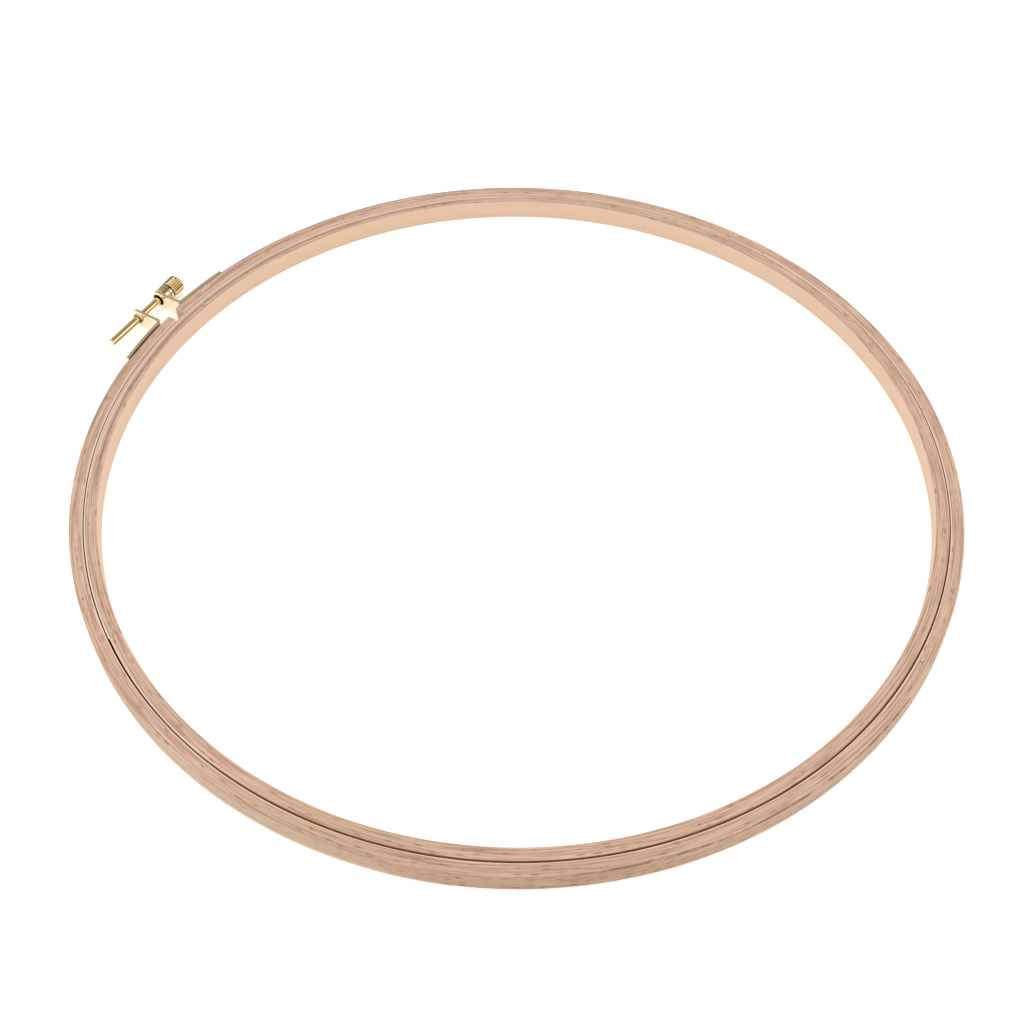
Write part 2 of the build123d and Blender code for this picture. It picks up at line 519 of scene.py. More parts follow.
@dataclass(frozen=True)
class BeechFinish:
    """Bare sanded beech, bent along its grain. Its sizes on the strip are in millimetres."""

    name: str
    effects: EffectShelf
    mid_radius: float
    half_thickness: float
    arris: float
    half_depth: float = 4.0
    pink_layer: Colour = (0.720, 0.425, 0.350)
    olive_layer: Colour = (0.590, 0.410, 0.235)
    dark_streak: Colour = (0.350, 0.195, 0.125)
    pale_streak: Colour = (0.880, 0.610, 0.465)
    wall_tan: Colour = (0.670, 0.405, 0.260)
    wall_olive: Colour = (0.520, 0.345, 0.190)
    lining_peach: Colour = (0.880, 0.600, 0.425)
    lining_sand: Colour = (0.830, 0.600, 0.415)
    end_grain: Colour = (0.880, 0.640, 0.500)
    roughness: float = 0.52
    grain_roughness: float = 0.10
    sheen: float = 0.28
    bump_strength: float = 0.35
    bump_depth: float = 0.05 * MM
    fine: Grain = Grain(12.0, 0.26, 0.15)
    layers: Grain = Grain(60.0, 0.80, 0.07)
    streaks: Grain = Grain(16.0, 0.46, 0.09)
    light: Grain = Grain(30.0, 0.50, 0.08)
    wall_layers: Grain = Grain(26.0, 1.5, 0.07)
    top_dashes: Dashes = Dashes(4.5, 0.80, 0.32)
    wall_dashes: Dashes = Dashes(4.2, 0.66, 0.66)
    top_shares: Shares = Shares(streaks=0.58, light=0.62, dashes=0.70, fine=0.26)
    wall_shares: Shares = Shares(streaks=0.36, light=0.38, dashes=1.0, fine=0.16)
    lining_streaks: float = 0.07
    lining_dashes: float = 0.12
    edge_from: float = 0.7
    edge_full: float = 0.3
    wall_from: float = 0.8
    wall_full: float = 0.2
    broken_breadth: float = 3.0
    broken_softness: float = 0.07
    line_edge: tuple[float, float] = (1.5, 0.5)
    marks: tuple[Mark, ...] = ()
    lines: tuple[Line, ...] = ()
    # painted light and shade on the outer wall
    wall_tints: tuple[WallTint, ...] = ()
    shaded: tuple[Stretch, ...] = ()
    cut_ends: tuple[Stretch, ...] = ()
    # painted highlights along the outer and the inner arrises, and where they show
    pale_outer_arris: tuple[Stretch, ...] = ()
    pale_inner_arris: tuple[Stretch, ...] = ()

    def dress(self) -> Material:
        """Build the material.

        Returns:
            The material, ready for the ring.
        """
        material = new_material(self.name)
        bench = StripBench(material.node_tree, self.effects, self.mid_radius)
        fine = bench.grain(self.fine)
        self._faces(bench, fine)
        self._arrises(bench)
        self._extras(bench)
        on_edge = self._on_edge(bench)
        for line in self.lines:
            self._line(bench, line, on_edge)
        for mark in self.marks:
            self._mark(bench, mark)
        # pale end grain on the cut ends: partly the wood's own colour, partly painted light that lifts the
        # shade of the split
        bench.lay(bench.run(self.cut_ends), self.end_grain)
        rough = bench.times(fine, self.grain_roughness)
        rough = bench.plus(rough, self.roughness - self.grain_roughness / 2)
        inputs = {"Base Color": bench.colour, "Roughness": rough, "Specular IOR Level": self.sheen}
        bench.shade(inputs, fine, self.bump_strength, self.bump_depth)
        return material

    def _on_edge(self, bench: StripBench) -> Socket:
        """1 on the upper edge of the strip."""
        return bench.fade(bench.up, self.half_depth - self.edge_from, self.half_depth - self.edge_full)

    def _faces(self, bench: StripBench, fine: Socket) -> None:
        """Paint the two edges of the strip and its two walls, then the painted light and shade over them.

        Args:
            bench: The strip's bench.
            fine: The finest grain lines.
        """
        masks = {"fine": fine, "streaks": bench.grain(self.streaks), "light": bench.grain(self.light)}
        masks["dashes"] = bench.dashes(self.top_dashes)
        top = bench.blend(bench.grain(self.layers), self.pink_layer, self.olive_layer)
        top = self._with_grain(bench, top, masks, self.top_shares)

        masks["dashes"] = bench.dashes(self.wall_dashes)
        wall_layers = bench.grain(self.wall_layers)
        wall = bench.blend(wall_layers, self.wall_tan, self.wall_olive)
        wall = self._with_grain(bench, wall, masks, self.wall_shares)

        lining = bench.blend(wall_layers, self.lining_peach, self.lining_sand)
        for kind, share in (("streaks", self.lining_streaks), ("dashes", self.lining_dashes)):
            lining = bench.blend(bench.times(masks[kind], share), lining, self.pink_layer)

        far_out = self.half_thickness - self.arris * self.wall_full
        near_out = self.half_thickness - self.arris * self.wall_from
        on_outside = bench.fade(bench.across, near_out, far_out)
        on_inside = bench.fade(bench.across, -near_out, -far_out)
        bench.colour = bench.blend(on_inside, bench.blend(on_outside, top, wall), lining)
        bench.lay(bench.run(self.shaded), self.dark_streak)
        # painted light and shade on the outer wall
        for tint in self.wall_tints:
            mask = bench.times(on_outside, bench.fade(bench.up, tint.none_up, tint.full_up))
            bench.lay(bench.times(mask, bench.run(tint.runs)), tint.tone.value)

    def _with_grain(
        self, bench: StripBench, colour: Socket, masks: dict[str, Socket], shares: Shares
    ) -> Socket:
        """Lay streaks, light grain, ray dashes and the finest grain over one face's colour.

        Args:
            bench: The strip's bench.
            colour: The face's colour.
            masks: Mask of each kind of grain.
            shares: How strongly each kind shows.

        Returns:
            The face's colour with its grain.
        """
        tones = {"streaks": self.dark_streak, "light": self.pale_streak}
        tones |= {"dashes": Tone.FLECK.value, "fine": Tone.FLECK.value}
        for kind, tone in tones.items():
            colour = bench.blend(bench.times(masks[kind], getattr(shares, kind)), colour, tone)
        return colour

    def _arrises(self, bench: StripBench) -> None:
        """Add the painted highlights along the arrises."""
        for side, stretches in ((1.0, self.pale_outer_arris), (-1.0, self.pale_inner_arris)):
            inputs = {"Across": bench.across, "Up": bench.up, "Side": side, "Radius": self.arris}
            inputs |= {"Half Thickness": self.half_thickness, "Half Depth": self.half_depth}
            line = bench.mask(self.effects.arris_line, inputs)
            bench.lay(bench.times(line, bench.run(stretches)), Tone.CREAM.value)

    def _extras(self, bench: StripBench) -> None:
        """Add nothing: a ring with more to show adds it here."""

    def _line(self, bench: StripBench, line: Line, on_edge: Socket) -> None:
        """Add one line along the strip's upper edge.

        Args:
            bench: The strip's bench.
            line: The line.
            on_edge: 1 on the upper edge of the strip.
        """
        offset = bench.maths("ABSOLUTE", bench.minus(bench.across, line.across))
        mask = bench.fade(offset, *(line.half_width * share for share in self.line_edge))
        mask = bench.times(bench.times(mask, bench.run(line.runs)), on_edge)
        if line.dash:
            broken = Grain(line.dash, self.broken_breadth, self.broken_softness)
            mask = bench.times(mask, bench.grain(broken))
        bench.lay(mask, line.tone.value)

    def _mark(self, bench: StripBench, mark: Mark) -> None:
        """Add one small mark."""
        inputs = {"Bearing": bench.bearing, "Across": bench.across, "Up": bench.up}
        inputs |= {"At Bearing": mark.bearing, "At Across": mark.across, "At Up": mark.up}
        inputs |= {"Half Degrees": mark.half_degrees, "Half Breadth": mark.half_breadth}
        mask = bench.mask(self.effects.seen_mark, inputs)
        bench.lay(bench.times(mask, mark.strength), mark.tone.value)


@dataclass(frozen=True)
class LappedBeechFinish(BeechFinish):
    """Beech of the inner ring, with the feather edge of its lap."""

    tip_start: float = 506.7
    tip_full: float = 507.7
    tip_breadth: float = 0.70
    seam_edge: tuple[float, float] = (0.24, 0.10)
    seam_strength: float = 0.8
    sliver_edge: tuple[float, float] = (0.06, 0.22)

    def _extras(self, bench: StripBench) -> None:
        """Add the painted highlight on the feather edge and the thin glue line on its inner side."""
        limits = {"Value": bench.bearing, "From Min": self.tip_start, "From Max": self.tip_full}
        run = bench.node("ShaderNodeMapRange", limits).outputs["Result"]
        edge = bench.minus(self.half_thickness, bench.times(run, self.tip_breadth))
        past = bench.minus(bench.across, edge)
        begun = bench.maths("GREATER_THAN", bench.bearing, self.tip_start)
        seam = bench.times(bench.fade(bench.maths("ABSOLUTE", past), *self.seam_edge), begun)
        tip_highlight = bench.times(bench.fade(past, *self.sliver_edge), begun)
        bench.lay(bench.times(seam, self.seam_strength), Tone.PITH.value)
        # painted highlight where the feather edge meets the top
        bench.lay(bench.times(tip_highlight, self._on_edge(bench)), Tone.FOOT.value)


@dataclass(frozen=True)
class Hollow:
    """Inside of a bore, a groove or a slot of the clamp, where the brass gets painted shade.

    Its start, its end and its reach are in metres. The reach is from the screw's axis, or from
    the middle of a slot that runs at slot_degrees.
    """

    start: float
    end: float
    reach: float
    strength: float
    slot_degrees: float | None = None
    softness: float = 0.05 * MM


@dataclass(frozen=True)
class BrassFinish:
    """Polished brass with fine marks from rolling or turning."""

    name: str
    effects: EffectShelf
    gold: Colour
    shade: Colour
    roughness: float
    line_size: Point
    line_depth: float
    line_strength: float = 0.4
    line_roughness: float = 0.12
    tarnish_roughness: float = 0.08
    polish: float = 0.08
    blotch: float = 3.0 * MM
    blotch_edge: tuple[float, float] = (0.40, 0.72)
    # painted shade, near black, inside the clamp's hollows
    hollows: tuple[Hollow, ...] = ()
    hollow_brown: Colour = (0.030, 0.018, 0.008)
    axis_y: float = 171.7 * MM

    def dress(self) -> Material:
        """Build the material.

        Returns:
            The material, ready for the brass pieces.
        """
        material = new_material(self.name)
        bench = NodeBench(material.node_tree)
        marks = bench.use(self.effects.hairlines, {"Size": self.line_size, "Blotch": self.blotch}).outputs
        tarnish = bench.fade(marks["Blotch"], *self.blotch_edge)
        colour = bench.blend(tarnish, self.gold, self.shade)
        for hollow in self.hollows:
            colour = self._darkened(bench, hollow, colour)
        rough = bench.times(marks["Line"], self.line_roughness)
        rough = bench.plus(rough, bench.times(tarnish, self.tarnish_roughness))
        rough = bench.plus(rough, self.roughness - self.polish)
        inputs = {"Base Color": colour, "Metallic": 1.0, "Roughness": rough}
        bench.shade(inputs, marks["Line"], self.line_strength, self.line_depth)
        return material

    def _darkened(self, bench: NodeBench, hollow: Hollow, colour: Socket) -> Socket:
        """Paint shade into the inside of one hollow.

        Args:
            bench: The material's bench.
            hollow: The hollow.
            colour: The colour so far.

        Returns:
            The colour with the hollow in it.
        """
        along, y, z = bench.parts(bench.node("ShaderNodeTexCoord").outputs["Object"])
        y = bench.minus(y, self.axis_y)
        if hollow.slot_degrees is None:
            distance = bench.length(bench.vector(0.0, y, z))
        else:
            turn = math.radians(hollow.slot_degrees)
            sideways = bench.plus(bench.times(y, -math.sin(turn)), bench.times(z, math.cos(turn)))
            distance = bench.maths("ABSOLUTE", sideways)
        inputs = {"Along": along, "Start": hollow.start, "End": hollow.end}
        inputs |= {"Distance": distance, "Reach": hollow.reach, "Softness": hollow.softness}
        mask = bench.use(self.effects.deep_place, inputs).outputs["Mask"]
        return bench.blend(bench.times(mask, hollow.strength), colour, self.hollow_brown)


# Meshes


def sharp_edges(mesh: Mesh, least_degrees: float) -> list[Edge]:
    """Edges between two faces that meet at more than this angle."""
    limit = math.radians(least_degrees)
    return [edge for edge in mesh.edges if len(edge.link_faces) == 2 and edge.calc_face_angle() > limit]


def only_verts(items: list) -> list[Vert]:
    """The vertices among an operator's results."""
    return [item for item in items if isinstance(item, Vert)]


def bevel(mesh: Mesh, geom: list, width: float, segments: int = 2, affect: str = "EDGES") -> None:
    """Round edges or corners.

    Args:
        mesh: The mesh to change.
        geom: Its edges or vertices to round.
        width: How far the rounding reaches from them.
        segments: Faces across the rounding.
        affect: "EDGES" or "VERTICES".
    """
    bmesh.ops.bevel(
        mesh,
        geom=geom,
        offset=width,
        offset_type="OFFSET",
        segments=segments,
        profile=0.5,
        affect=affect,
        clamp_overlap=True,
        material=-1,
    )


def spin(mesh: Mesh, geom: list, axis: Point, angle: float, steps: int, **settings: object) -> list:
    """Sweep vertices and edges round an axis.

    Args:
        mesh: The mesh that holds them.
        geom: The vertices and edges.
        axis: Direction of the axis.
        angle: How far they turn.
        steps: Faces along the sweep.
        settings: The operator's other options, such as its centre.

    Returns:
        The vertices and edges at the far end.
    """
    options = {"cent": CENTRE, "dvec": CENTRE} | settings
    swept = bmesh.ops.spin(mesh, geom=geom, axis=axis, angle=angle, steps=steps, **options)
    return swept["geom_last"]


def close_up(mesh: Mesh) -> None:
    """Merge doubled vertices and point every face outwards."""
    bmesh.ops.remove_doubles(mesh, verts=mesh.verts[:], dist=MERGE_DISTANCE)
    bmesh.ops.recalc_face_normals(mesh, faces=mesh.faces[:])


def on_lathe(
    mesh: Mesh,
    outline: list[tuple[float, float]],
    place: Matrix,
    closed: bool = False,
    steps: int = TURNED_STEPS,
) -> None:
    """Spin a half outline about +X and put the result in its place.

    Args:
        mesh: The mesh that gets the turned shape.
        outline: Distance along the axis and radius of each corner.
        place: Where the turned shape goes.
        closed: True where the outline joins up, as for a ring.
        steps: Facets round the axis.
    """
    before = set(mesh.verts)
    corners = [mesh.verts.new((distance, 0.0, radius)) for distance, radius in outline]
    pairs = list(zip(corners, corners[1:]))
    if closed:
        pairs.append((corners[-1], corners[0]))
    edges = [mesh.edges.new(pair) for pair in pairs]
    spin(mesh, corners + edges, X_AXIS, math.tau, steps, use_merge=True)
    made = [vert for vert in mesh.verts if vert not in before]
    bmesh.ops.transform(mesh, matrix=place, verts=made)


def as_object(name: str, mesh: Mesh) -> Thing:
    """Turn a mesh, which is used up, into an object of the scene."""
    data = bpy.data.meshes.new(name)
    mesh.to_mesh(data)
    mesh.free()
    made = bpy.data.objects.new(name, data)
    bpy.context.scene.collection.objects.link(made)
    return made


def evaluated_mesh(made: Thing) -> bpy.types.Mesh:
    """Mesh of an object with its modifiers applied."""
    bpy.context.view_layer.update()
    return bpy.data.meshes.new_from_object(made.evaluated_get(bpy.context.evaluated_depsgraph_get()))


def make_piece(
    name: str,
    mesh: Mesh,
    material: Material,
    stands_for: tuple[str, ...],
) -> Thing:
    """Turn a finished mesh into a piece that stands for CAD nodes.

    Args:
        name: The piece's name.
        mesh: The mesh, which is used up.
        material: Its finish.
        stands_for: The CAD nodes that it replaces.

    Returns:
        The piece, which still has to ride on a body.
    """
    piece = as_object(name, mesh)
    piece.data.shade_smooth()
    piece.data.set_sharp_from_angle(angle=math.radians(SHARP_DEGREES))
    even = piece.modifiers.new("even_shading", "WEIGHTED_NORMAL")
    even.keep_sharp = True
    piece.data = evaluated_mesh(piece)
    piece.modifiers.clear()
    piece.data.materials.clear()
    piece.data.materials.append(material)
    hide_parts(*stands_for)
    log.info("%s: %d faces, for %s", name, len(piece.data.polygons), ", ".join(stands_for))
    return piece


# Rings


@dataclass
class BentStrip:
    """A beech strip bent into a ring, with rounded arrises."""

    inner_radius: float
    outer_radius: float
    start_degrees: float
    sweep_degrees: float
    depth: float = 8.0 * MM
    inner_arris: float = 0.45 * MM
    outer_arris: float = 0.45 * MM
    arris_segments: int = 5

    @property
    def mid_radius(self) -> float:
        """Radius of the middle of the strip."""
        return (self.inner_radius + self.outer_radius) / 2

    def section(self, mesh: Mesh) -> None:
        """Draw the strip's rounded cross-section in the XZ plane.

        Args:
            mesh: An empty mesh.
        """
        half = self.depth / 2
        corners = [(self.inner_radius, -half), (self.outer_radius, -half)]
        corners += [(self.outer_radius, half), (self.inner_radius, half)]
        verts = [mesh.verts.new((radius, 0.0, height)) for radius, height in corners]
        mesh.faces.new(verts)
        for arris, rounded in ((self.inner_arris, (0, 3)), (self.outer_arris, (1, 2))):
            bevel(mesh, [verts[number] for number in rounded], arris, self.arris_segments, "VERTICES")
        bmesh.ops.delete(mesh, geom=mesh.faces[:], context="FACES_ONLY")

    def bend(self, mesh: Mesh) -> tuple[list, list]:
        """Sweep the section round the ring.

        Args:
            mesh: The mesh that holds the section.

        Returns:
            The vertices of the first and of the last section.
        """
        turn = Matrix.Rotation(math.radians(self.start_degrees), 3, "Z")
        bmesh.ops.rotate(mesh, cent=CENTRE, matrix=turn, verts=mesh.verts[:])
        first = mesh.verts[:]
        steps = round(RING_STEPS * self.sweep_degrees / 360)
        last = spin(mesh, first + mesh.edges[:], Z_AXIS, math.radians(self.sweep_degrees), steps)
        return first, only_verts(last)

    def bearing(self, point: Vector) -> float:
        """Degrees of a point about +Z, counted on from the strip's start."""
        degrees = math.degrees(math.atan2(point.y, point.x))
        return self.start_degrees + (degrees - self.start_degrees) % 360

    def sunk(self, bearing: float) -> float:
        """How far the outside is shaved off at this bearing."""
        return 0.0

    def shave(self, verts: list, amount: float | None = None) -> None:
        """Move vertices of the strip's outer side towards the centre.

        Args:
            verts: The vertices, of either side.
            amount: How far they move, or None for what sunk says.
        """
        for vert in verts:
            radius = vert.co.xy.length
            if radius > self.mid_radius:
                depth = self.sunk(self.bearing(vert.co)) if amount is None else amount
                vert.co.xy *= (radius - depth) / radius

    def measure(self, mesh: Mesh) -> None:
        """Write each face corner's place on the strip: degrees, millimetres across and up.

        Args:
            mesh: The finished mesh of the strip.
        """
        layer = mesh.loops.layers.float_vector.new(STRIP_ATTRIBUTE)
        for face in mesh.faces:
            middle = self.bearing(face.calc_center_median())
            for loop in face.loops:
                point = loop.vert.co
                here = self.bearing(point)
                if abs(here - middle) > 180:
                    here += math.copysign(360, middle - here)
                across = point.xy.length - self.mid_radius
                if across > 0:
                    across += self.sunk(here)
                loop[layer] = (here, across / MM, point.z / MM)


@dataclass
class LappedStrip(BentStrip):
    """The inner ring's strip, whose outside lies lower past the tip of its lap."""

    step_depth: float = 0.3 * MM
    step_fade_degrees: float = 24.0

    def sunk(self, bearing: float) -> float:
        """How far the outside lies below the lap's tip at this bearing."""
        share = (bearing - self.start_degrees) / self.step_fade_degrees
        return self.step_depth * (1 - share) ** 2 if share < 1 else 0.0


@dataclass
class SplitStrip(BentStrip):
    """The outer ring's strip, thinner under the two straps."""

    thinned_at_head: float = 0.15 * MM
    thinned_at_tip: float = 0.85 * MM
    thinned_degrees: float = 8.6
    thinning_fade: float = 3.5

    def sunk(self, bearing: float) -> float:
        """How far the outside is shaved off under the straps."""
        from_split = (bearing - 90 + 180) % 360 - 180
        thinned = self.thinned_at_tip if from_split > 0 else self.thinned_at_head
        share = (self.thinned_degrees + self.thinning_fade - abs(from_split)) / self.thinning_fade
        share = min(1.0, max(0.0, share))
        return thinned * share * share * (3 - 2 * share)


@dataclass
class InnerRing:
    """The closed inner ring, glued in a lap whose blunt tip leaves a low step."""

    finish: BeechFinish
    strip: LappedStrip = field(
        default_factory=lambda: LappedStrip(
            150.0 * MM, 154.85 * MM, start_degrees=149.85, sweep_degrees=360.0, outer_arris=0.32 * MM
        )
    )
    sideways: Point = (0.11 * MM, 0.07 * MM, 0.0)

    def build(self) -> None:
        """Build, dress and place the ring."""
        mesh = bmesh.new()
        self.strip.section(mesh)
        first, last = self.strip.bend(mesh)
        self._cut_step(mesh, first, last)
        rims = [edge for edge in mesh.edges if edge.is_boundary]
        bmesh.ops.bridge_loops(mesh, edges=rims)
        close_up(mesh)
        bmesh.ops.dissolve_degenerate(mesh, dist=MERGE_DISTANCE, edges=mesh.edges[:])
        self.strip.measure(mesh)
        bmesh.ops.translate(mesh, vec=self.sideways, verts=mesh.verts[:])
        piece = make_piece("inner_hoop", mesh, self.finish.dress(), ("inner_ring",))
        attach(piece, Body.INNER_RING.value)

    def _cut_step(self, mesh: Mesh, first: list, last: list) -> None:
        """Sink the outside past the lap's tip, less and less along the ring.

        Args:
            mesh: The swept strip, not yet joined up.
            first: Vertices at the strip's start.
            last: Vertices at its end, which is the lap's tip.
        """
        self.strip.shave(first, self.strip.step_depth)
        kept = set(first) | set(last)
        self.strip.shave([vert for vert in mesh.verts if vert not in kept])


@dataclass
class OuterRing:
    """The springy outer ring: one strip, cut open at the clamp."""

    finish: BeechFinish
    strip: SplitStrip = field(
        default_factory=lambda: SplitStrip(
            155.15 * MM, 160.0 * MM, start_degrees=90.909, sweep_degrees=358.182, inner_arris=0.40 * MM
        )
    )
    half_split: float = 2.5 * MM
    end_arris: float = 0.25 * MM
    hinge_room: float = 2.4 * MM

    def build(self) -> None:
        """Build, dress and place the ring."""
        mesh = bmesh.new()
        self.strip.section(mesh)
        first, last = self.strip.bend(mesh)
        self.strip.shave(mesh.verts[:])
        self._square_ends(mesh, first, last)
        self.strip.measure(mesh)
        nodes = ("outer_ring_right", "outer_ring_left")
        piece = make_piece("outer_hoop", mesh, self.finish.dress(), nodes)
        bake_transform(piece)

    def _square_ends(self, mesh: Mesh, first: list, last: list) -> None:
        """Close the two ends with flat cuts, and ease their edges.

        Args:
            mesh: The swept strip.
            first: Vertices of the end left of the split.
            last: Vertices of the end right of it.
        """
        for side, verts in ((-1, first), (1, last)):
            for vert in verts:
                vert.co.x = side * self.half_split
        rims = [edge for edge in mesh.edges if edge.is_boundary]
        bmesh.ops.contextual_create(mesh, geom=rims)
        close_up(mesh)
        ends = [face for face in mesh.faces if len(face.verts) > 4]
        edges = list({edge for face in ends for edge in face.edges})
        bevel(mesh, edges, self.end_arris, 2)


# Clamp


@dataclass
class Clamp:
    """Sizes that the clamp's pieces share."""

    strap_inner_radius: float = 160.0 * MM
    sheet: float = 1.3 * MM
    axis_y: float = 171.7 * MM
    ear_inner_x: float = 5.6 * MM
    bearing_x: float = 9.7 * MM

    @property
    def ear_outer_x(self) -> float:
        """Where the clearance ear's outer face is."""
        return self.ear_inner_x + self.sheet

    @property
    def strap_outer_radius(self) -> float:
        """Radius of the straps' outer faces."""
        return self.strap_inner_radius + self.sheet

    def on_axis(self, distance: float = 0.0) -> Matrix:
        """Place on the screw's axis, at this distance along it."""
        return Matrix.Translation((distance, self.axis_y, 0.0))

    def facing(self, distance: float) -> Matrix:
        """The same place, for a flat shape that stands square to the axis."""
        return self.on_axis(distance) @ Matrix.Rotation(math.radians(90), 4, "Y")


@dataclass
class Bracket:
    """An L of brass sheet: strap, bend and a round-ended ear with a hole."""

    clamp: Clamp
    ear: Ear
    material: Material
    half_height: float = 3.7 * MM
    bend_inner_radius: float = 1.0 * MM
    strap_end_degrees: float = 10.515
    strap_corner_segments: int = 4
    corner_radius: float = 0.6 * MM
    clearance_hole_radius: float = 2.5 * MM
    thread_radius: float = 1.7 * MM
    boss_wall: float = 0.45 * MM
    boss_length: float = 0.6 * MM
    boss_root: float = 0.22 * MM
    boss_rim: float = 0.12 * MM
    boss_sunk: float = 0.03 * MM
    boss_steps: int = 48
    thread_room: float = 0.05 * MM
    foot_slack: float = 0.01
    edge_rounding: float = 0.16 * MM
    hole_facets: int = 32
    bend_steps: int = 10
    strap_steps: int = 16

    @property
    def hole_radius(self) -> float:
        """Radius of the hole in the sheet."""
        if self.ear is Ear.CLEARANCE:
            return self.clearance_hole_radius
        return self.thread_radius + self.thread_room

    @property
    def bend_centre(self) -> Vector:
        """Centre of the bend, tangent to the strap's inner face."""
        bend_radius = self.bend_inner_radius + self.clamp.sheet
        centre_x = self.clamp.ear_inner_x + bend_radius
        reach = self.clamp.strap_inner_radius + bend_radius
        return Vector((centre_x, math.sqrt(reach**2 - centre_x**2), 0.0))

    def build(self) -> None:
        """Build, dress and place the bracket."""
        mesh = bmesh.new()
        self._ear_plate(mesh)
        self._bend_strap(mesh)
        bmesh.ops.recalc_face_normals(mesh, faces=mesh.faces[:])
        self._thicken(mesh)
        bevel(mesh, sharp_edges(mesh, EASED_DEGREES), self.edge_rounding)
        if self.ear is Ear.TAPPED:
            self._boss(mesh)
            bmesh.ops.scale(mesh, vec=MIRRORED, verts=mesh.verts[:])
        close_up(mesh)
        node = self.ear.value
        piece = make_piece(node + "_bent", mesh, self.material, (node,))
        body = self.ear.body
        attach(piece, body.value)

    def _ear_plate(self, mesh: Mesh) -> None:
        """Draw the ear's inner face, with its hole."""
        upright = self.clamp.facing(self.clamp.ear_inner_x)
        for radius in (self.hole_radius, self.half_height):
            circle = bmesh.ops.create_circle(
                mesh, cap_ends=False, radius=radius, segments=self.hole_facets, matrix=upright
            )
        self._square_foot(circle["verts"])
        bmesh.ops.bridge_loops(mesh, edges=mesh.edges[:])

    def _square_foot(self, rim: list) -> None:
        """Draw the lower half of a circle out into the ear's straight sides and foot.

        Args:
            rim: Vertices of the circle.
        """
        drop = self.clamp.axis_y - self.bend_centre.y
        corner = 2 * math.tau / self.hole_facets
        for vert in rim:
            down = self.clamp.axis_y - vert.co.y
            from_foot = math.atan2(abs(vert.co.z), down)
            side = math.copysign(1.0, vert.co.z) if abs(vert.co.z) > MERGE_DISTANCE else 0.0
            if from_foot < corner + self.foot_slack:
                vert.co.y = self.clamp.axis_y - drop
                vert.co.z = side * self.half_height * from_foot / corner
            elif down > MERGE_DISTANCE:
                vert.co.y = self.clamp.axis_y - self.half_height / math.tan(from_foot)
                vert.co.z = side * self.half_height

    def _bend_strap(self, mesh: Mesh) -> None:
        """Spin the ear's foot round the bend and on along the wood."""
        centre = self.bend_centre
        lean = math.atan2(centre.x, centre.y)
        foot_y = centre.y
        edges = [e for e in mesh.edges if all(abs(v.co.y - foot_y) < MERGE_DISTANCE for v in e.verts)]
        turns = (
            (centre, math.pi / 2 - lean, self.bend_steps),
            (CENTRE, lean - math.radians(self.strap_end_degrees), self.strap_steps),
        )
        row = edges + list({vert for edge in edges for vert in edge.verts})
        for middle, angle, steps in turns:
            row = spin(mesh, row, Z_AXIS, angle, steps, cent=middle)
        ends = only_verts(row)
        corners = [vert for vert in ends if abs(abs(vert.co.z) - self.half_height) < MERGE_DISTANCE]
        bevel(mesh, corners, self.corner_radius, self.strap_corner_segments, "VERTICES")

    def _thicken(self, mesh: Mesh) -> None:
        """Give the sheet its thickness, away from the wood."""
        ear_face = min(mesh.faces, key=lambda face: face.calc_center_median().x)
        away = 1.0 if ear_face.normal.x < 0 else -1.0
        bmesh.ops.solidify(mesh, geom=mesh.faces[:], thickness=away * self.clamp.sheet)
        bmesh.ops.recalc_face_normals(mesh, faces=mesh.faces[:])

    def _boss(self, mesh: Mesh) -> None:
        """Add the short collar that is drawn out round the thread."""
        bore = self.thread_radius
        wall = bore + self.boss_wall
        root = wall + self.boss_root
        inside = self.clamp.ear_inner_x + self.boss_sunk
        face = self.clamp.ear_outer_x
        end = face + self.boss_length
        rim = self.boss_rim
        outline = [(inside, bore), (end - rim, bore), (end, bore + rim), (end, wall - rim)]
        outline += [(end - rim, wall), (face + self.boss_root, wall), (face, root), (inside, root)]
        on_lathe(mesh, outline, self.clamp.on_axis(), closed=True, steps=self.boss_steps)


@dataclass
class RivetPair:
    """Two domed rivets through one bracket and the wood."""

    clamp: Clamp
    ear: Ear
    material: Material
    turns: tuple[float, float] = (4.387, 8.903)
    foot_y: float = 155.3 * MM
    foot_radius: float = 1.6 * MM
    foot_depth: float = 0.7 * MM
    shank_radius: float = 1.0 * MM
    head_radius: float = 1.9 * MM
    head_height: float = 0.9 * MM
    turned_steps: int = 32
    dome: tuple[tuple[float, float], ...] = (
        (0.0, 1.0), (0.30, 0.97), (0.58, 0.82), (0.80, 0.60), (0.94, 0.33), (1.0, 0.0),
    )

    def build(self) -> None:
        """Build, dress and place the two rivets."""
        mesh = bmesh.new()
        for turn in self.turns:
            place = Matrix.Rotation(-math.radians(turn), 4, "Z") @ Matrix.Rotation(math.radians(90), 4, "Z")
            on_lathe(mesh, self._outline(), place, steps=self.turned_steps)
        if self.ear is Ear.TAPPED:
            bmesh.ops.scale(mesh, vec=MIRRORED, verts=mesh.verts[:])
        close_up(mesh)
        node = self.ear.value + "_rivets"
        piece = make_piece(node + "_domed", mesh, self.material, (node,))
        body = self.ear.body
        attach(piece, body.value)

    def _outline(self) -> list[tuple[float, float]]:
        """Half outline: foot, shank and a head rounded to a low dome."""
        seat = self.clamp.strap_outer_radius
        outline = [(self.foot_y, 0.0), (self.foot_y, self.foot_radius)]
        outline += [(self.foot_y + self.foot_depth, self.shank_radius), (seat, self.shank_radius)]
        outline += [(seat + rise * self.head_height, out * self.head_radius) for rise, out in self.dome]
        return outline


